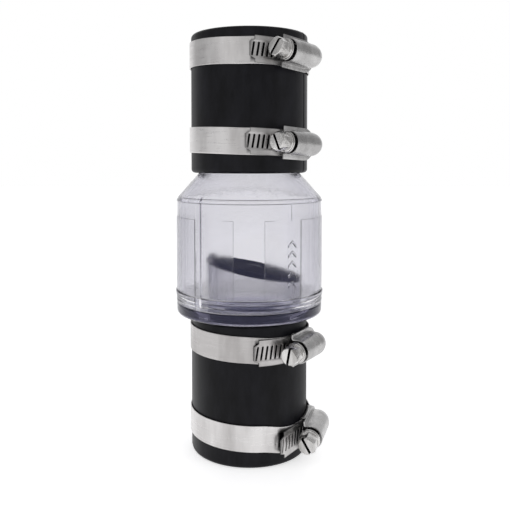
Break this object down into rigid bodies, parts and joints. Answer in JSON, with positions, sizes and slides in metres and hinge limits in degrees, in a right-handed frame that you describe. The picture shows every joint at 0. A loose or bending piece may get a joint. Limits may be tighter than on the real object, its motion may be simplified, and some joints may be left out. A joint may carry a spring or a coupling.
{
  "type": "swing check valve",
  "caption": "In-line swing check valve with a clear body, a slanted seat with a hinged flapper, rubber end couplings and worm-drive hose clamps.",
  "frame": {"origin": "centre of the inlet coupling's end face, on the valve's axis, where the riser pipe enters", "axes": "+Z is the flow direction and the valve's axis, -Y is the front with the sight pad, +X is the side that the flapper's free edge and the clamp screws are on"},
  "size_m": [0.0758, 0.0769, 0.2034],
  "materials": {
    "clear_pvc": "clear with a faint lavender tint, slightly hazy",
    "coupling_rubber": "smooth black, satin",
    "flapper_rubber": "matte blue-black",
    "dark_steel": "dark, dull",
    "stainless": "satin stainless"
  },
  "bodies": {
    "valve_body": {"upper_housing": "clear_pvc", "lower_housing": "clear_pvc", "outlet_coupling": "coupling_rubber", "inlet_coupling": "coupling_rubber", "hinge_pin": "stainless", "clamp_1_band": "stainless", "clamp_1_saddle": "stainless", "clamp_1_housing": "stainless", "clamp_2_band": "stainless", "clamp_2_saddle": "stainless", "clamp_2_housing": "stainless", "clamp_3_band": "stainless", "clamp_3_saddle": "stainless", "clamp_3_housing": "stainless", "clamp_4_band": "stainless", "clamp_4_saddle": "stainless", "clamp_4_housing": "stainless"},
    "flapper": {"flapper_disc": "flapper_rubber", "flapper_plate": "dark_steel", "flapper_rivet": "dark_steel"},
    "clamp_1_screw": {"clamp_1_screw": "stainless"},
    "clamp_2_screw": {"clamp_2_screw": "stainless"},
    "clamp_3_screw": {"clamp_3_screw": "stainless"},
    "clamp_4_screw": {"clamp_4_screw": "stainless"}
  },
  "joints": [
    {"name": "flapper_swing", "type": "hinge", "parent": "valve_body", "child": "flapper", "pos_m": [-0.01862, 0, 0.09504], "axis": [0, -1, 0], "range_deg": [0, 75]},
    {"name": "clamp_1_screw_turn", "type": "hinge", "parent": "valve_body", "child": "clamp_1_screw", "pos_m": [0.0246, -0.02376, 0.19103], "axis": [-0.6928, -0.7174, 0.0726], "continuous": true},
    {"name": "clamp_2_screw_turn", "type": "hinge", "parent": "valve_body", "child": "clamp_2_screw", "pos_m": [0.02501, -0.02332, 0.15018], "axis": [-0.6812, -0.7305, 0.0472], "continuous": true},
    {"name": "clamp_3_screw_turn", "type": "hinge", "parent": "valve_body", "child": "clamp_3_screw", "pos_m": [0.02835, -0.01912, 0.05499], "axis": [-0.5588, -0.8285, -0.0358], "continuous": true},
    {"name": "clamp_4_screw_turn", "type": "hinge", "parent": "valve_body", "child": "clamp_4_screw", "pos_m": [0.03243, -0.01085, 0.01316], "axis": [-0.3148, -0.9407, -0.1262], "continuous": true}
  ]
}
